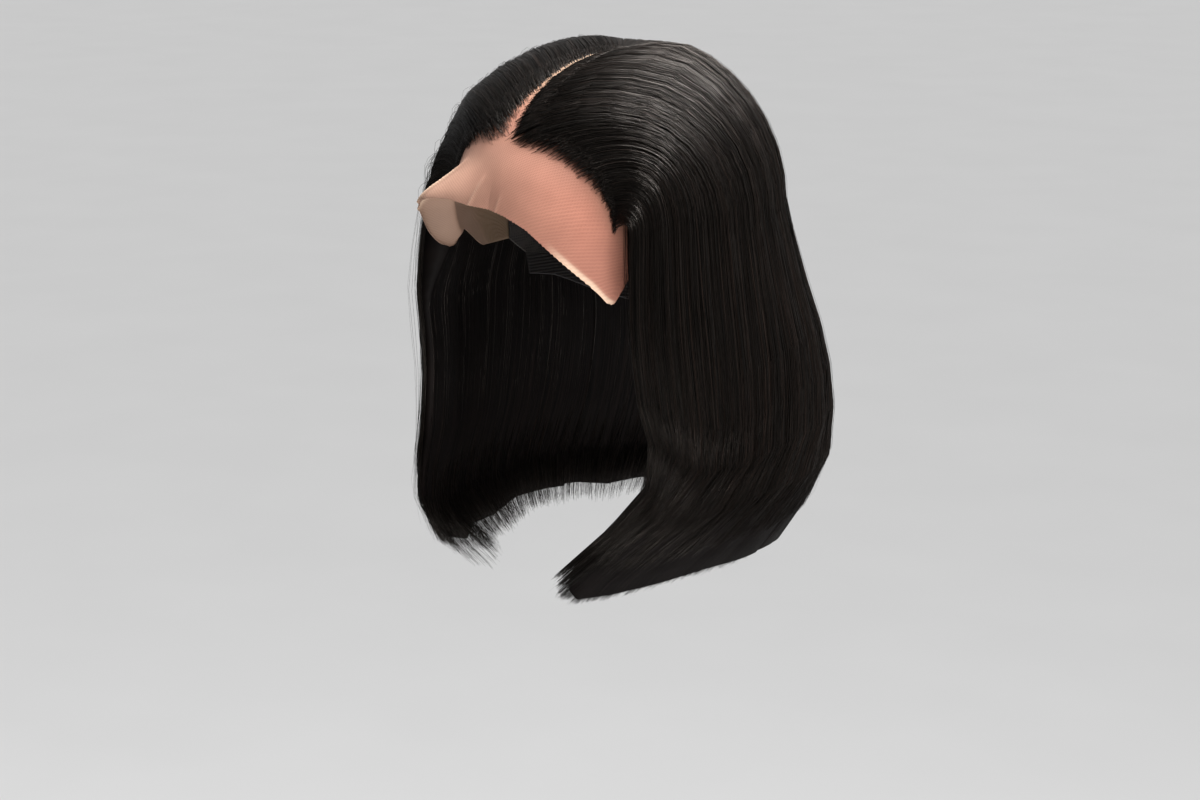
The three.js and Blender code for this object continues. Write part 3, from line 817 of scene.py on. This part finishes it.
def lie_of_hair(chance, fall, count, clumps, kind):
    """Paths of strands that lie on top of a fall of hair, inside it or loose above it."""
    clump = chance.integers(0, clumps, count)
    clump_middle = (np.arange(clumps) + chance.uniform(0.2, 0.8, clumps)) / clumps
    clump_middle = clump_middle[clump][:, None]
    place = np.clip(clump_middle + chance.normal(0, 0.9 / clumps, (count, 1)), 0.001, 0.999)
    root_strand, root_mirror = fall["strand_at"](place)
    start = band_depth(root_strand, root_mirror) * chance.uniform(0, 1, (count, 1)) ** 0.36
    if kind == "inside":
        start = chance.uniform(0.34, 0.46, (count, 1))
    end = lock_end(place, fall["locks"])
    end = end + chance.normal(0, 0.004, clumps)[clump][:, None]
    end = np.minimum(end - np.abs(chance.normal(0, 0.02, (count, 1))), 1.0)
    wisp = (root_mirror < 0) & (place < 0.45) & (chance.uniform(0, 1, (count, 1)) < 0.25)
    end = end + wisp * chance.uniform(0, 0.06, (count, 1))
    tip = dome_share + (1 - dome_share) * end
    share = start + (tip - start) * strand_stations[None, :]
    own = (share - start) / (tip - start)

    # Strands leave the lace in small knots, spread out, and gather again towards their tips.
    knot = (np.floor(place / knot_pitch) + 0.5) * knot_pitch + chance.normal(0, 0.0008, (count, 1))
    across = knot + (place - knot) * ease(0.0, 0.05, share - start)
    across = across + (clump_middle - across) * 0.3 * ease(0.75, 1.0, own)
    wave = chance.uniform(0.6, 1.6, clumps)[clump][:, None]
    phase = chance.uniform(0, 1, clumps)[clump][:, None]
    sway = chance.normal(0, 0.0030, clumps)[clump][:, None] * np.sin(2 * math.pi * (wave * share + phase))
    own_wave = chance.normal(0, 0.0012, (count, 1)) * np.sin(
        2 * math.pi * (chance.uniform(0.8, 2.4, (count, 1)) * share + chance.uniform(0, 1, (count, 1)))
    )
    stray = chance.uniform(0, 1, (count, 1)) < (1.0 if kind == "loose" else 0.06)
    drift = chance.normal(0, 0.004, (count, 1)) + chance.normal(0, 0.03, (count, 1)) * stray
    across = across + (sway + own_wave + drift * share) * ease(0.03, 0.25, share)
    across = np.clip(across, 0.0005, 0.9995)

    strand, mirror = fall["strand_at"](across)
    ragged = np.abs(chance.normal(0, 0.0012, (count, 1)))
    forward = np.where(root_strand < 0.3, ragged, 0.0)
    if fall["locks"] is not back_locks:
        forward = forward + at_temple(chance, place)
    outer, inner, outwards = strand_path(strand, mirror, share, forward, 0.0)
    crest = lock_crest(across, fall["locks"])
    relief = 0.6 * lock_relief * (crest - 1) * ease(0.1, 0.4, share) * (1 - ease(0.85, 1, share))
    bulge_wave = chance.uniform(0.7, 2.2, clumps)[clump][:, None]
    bulge = chance.normal(0, 0.00035, clumps)[clump][:, None] * np.sin(
        2 * math.pi * (bulge_wave * share + phase * 3.7)
    )
    thickness = np.linalg.norm(outer - inner, axis=-1)
    depth = chance.uniform(0, 0.0016, (count, 1)) + np.zeros_like(share)
    through = chance.uniform(0, 1, (count, 1)) * thickness
    depth = depth + (through - depth) * ease(0.86, 1.0, own)
    if kind == "inside":
        depth = thickness - depth
        relief = 0.0
        bulge = 0.0
    if kind == "loose":
        spread = 0.0010 if fall["locks"] is back_locks else np.where(root_mirror < 0, 0.0030, 0.0014)
        away = np.abs(chance.normal(0, spread, (count, 1))) + 0.0003
        depth = -away * ease(0.05, 0.3, share) * (0.55 + 0.45 * np.sin(9 * share + 6 * phase))
    depth = np.minimum(depth, thickness)
    if kind != "inside":
        rooting = 1 - ease(0, chance.uniform(0.02, 0.08, (count, 1)), share - start)
        depth = depth + (thickness + hair_gap - depth) * rooting
    off = relief + bulge * ease(0.05, 0.2, share) - depth
    hooked = 1.0 if fall["locks"] is back_locks else ease(0.16, 0.3, place)
    hook = curl_under * hooked * ease(0.88, 1.0, own) ** 1.3
    paths = outer + outwards * (off - hook)[..., None]
    paths[..., 2] += 0.3 * hook
    return paths, outwards, own


strand_sets = {
    "hair_left": {"top": 2150, "inside": 220, "loose": 110, "roots": 2100, "clumps": 220, "pieces": 2},
    "hair_right": {"top": 1700, "inside": 260, "loose": 170, "roots": 1700, "clumps": 200, "pieces": 2},
    "hair_back": {"top": 1500, "inside": 280, "loose": 80, "roots": 300, "clumps": 190, "pieces": 2},
}
for node, strand_set in strand_sets.items():
    chance = np.random.default_rng(ord(node[5]) * 101)
    fall = falls[node]
    lies = [
        lie_of_hair(chance, fall, strand_set[kind], strand_set["clumps"], kind)
        for kind in ("top", "inside", "loose")
    ]
    paths, outwards, along = (np.concatenate(parts) for parts in zip(*lies))
    count = len(paths)
    width = strand_width * chance.uniform(0.75, 1.25, (count, 1))
    width[-strand_set["loose"] :] *= 0.45
    taper = (0.45 + 0.55 * ease(0, 0.08, along)) * (1 - 0.72 * ease(0.8, 1, along))
    order = chance.permutation(count)
    for number, part in enumerate(np.array_split(order, strand_set["pieces"]), 1):
        strand_piece(
            f"{node}_strands_{number}", paths[part], (width * taper)[part], outwards[part], chance
        )
    paths, outwards, along = lie_of_roots(chance, fall, strand_set["roots"])
    width = strand_width * chance.uniform(0.5, 0.9, (len(paths), 1)) * (0.6 + 0.4 * ease(0, 0.3, along))
    strand_piece(f"{node}_knotted_roots", paths, width, outwards, chance)

# Studio
# A plain pale floor, and large soft lights above it.
floor_level = -1.62
floor_radius = 40.0
studio_paint, studio_shader = new_material("matt studio paint", {"Roughness": 0.9, "Specular IOR Level": 0.1})
place_in_model = add_node(studio_paint, "ShaderNodeTexCoord").outputs["Object"]
brushed = add_node(
    studio_paint, "ShaderNodeTexNoise", inputs={"Scale": 3.0, "Detail": 2.0}, links={"Vector": place_in_model}
)
pale = add_node(studio_paint, "ShaderNodeValToRGB", links={"Fac": brushed.outputs["Fac"]})
set_ramp(pale, [(0.3, "#dadada"), (0.7, "#dcdcdc")])
studio_paint.node_tree.links.new(pale.outputs["Color"], studio_shader.inputs["Base Color"])
around = np.linspace(0, 2 * math.pi, 97)[:-1]
rim = np.stack([floor_radius * np.cos(around), floor_radius * np.sin(around), np.full(96, floor_level)], 1)
floor_points = np.concatenate([rim, [[0, 0, floor_level]]])
fan = np.stack([np.full(96, 96), np.arange(96), np.roll(np.arange(96), -1)], 1)
studio = new_piece("studio_floor", floor_points, [fan], studio_paint, "#d1d1d1")


def soft_light(name, location, size, power):
    """A rectangular studio softbox that faces the wig."""
    data = bpy.data.lights.new(name, "AREA")
    data.shape = "RECTANGLE"
    data.size, data.size_y = size
    data.energy = power
    light = bpy.data.objects.new(name, data)
    light.location = location
    light.rotation_euler = (aim - Vector(location)).to_track_quat("-Z", "Y").to_euler()
    bpy.context.scene.collection.objects.link(light)
    return light


soft_light("key softbox", (0.3, -1.9, 1.3), (1.0, 1.0), 7)
soft_light("low reflector", (0.53, -0.32, -0.65), (0.3, 0.3), 10)
soft_light("top softbox", (0.25, 0.23, 0.53), (0.4, 0.7), 62)
for name, turn, rise, strength in (("left sky", -35, 60, 0.4), ("right sky", 120, 60, 0.4)):
    data = bpy.data.lights.new(name, "SUN")
    data.energy = strength
    data.angle = math.radians(60)
    sky = bpy.data.objects.new(name, data)
    a, b = math.radians(turn), math.radians(rise)
    towards = Vector((math.sin(a) * math.cos(b), -math.cos(a) * math.cos(b), math.sin(b)))
    sky.rotation_euler = (-towards).to_track_quat("-Z", "Y").to_euler()
    bpy.context.scene.collection.objects.link(sky)
world = bpy.data.worlds.new("studio air")
world.use_nodes = True
world.node_tree.nodes["Background"].inputs["Color"].default_value = linear("#cccccc")
world.node_tree.nodes["Background"].inputs["Strength"].default_value = 1.0
bpy.context.scene.world = world
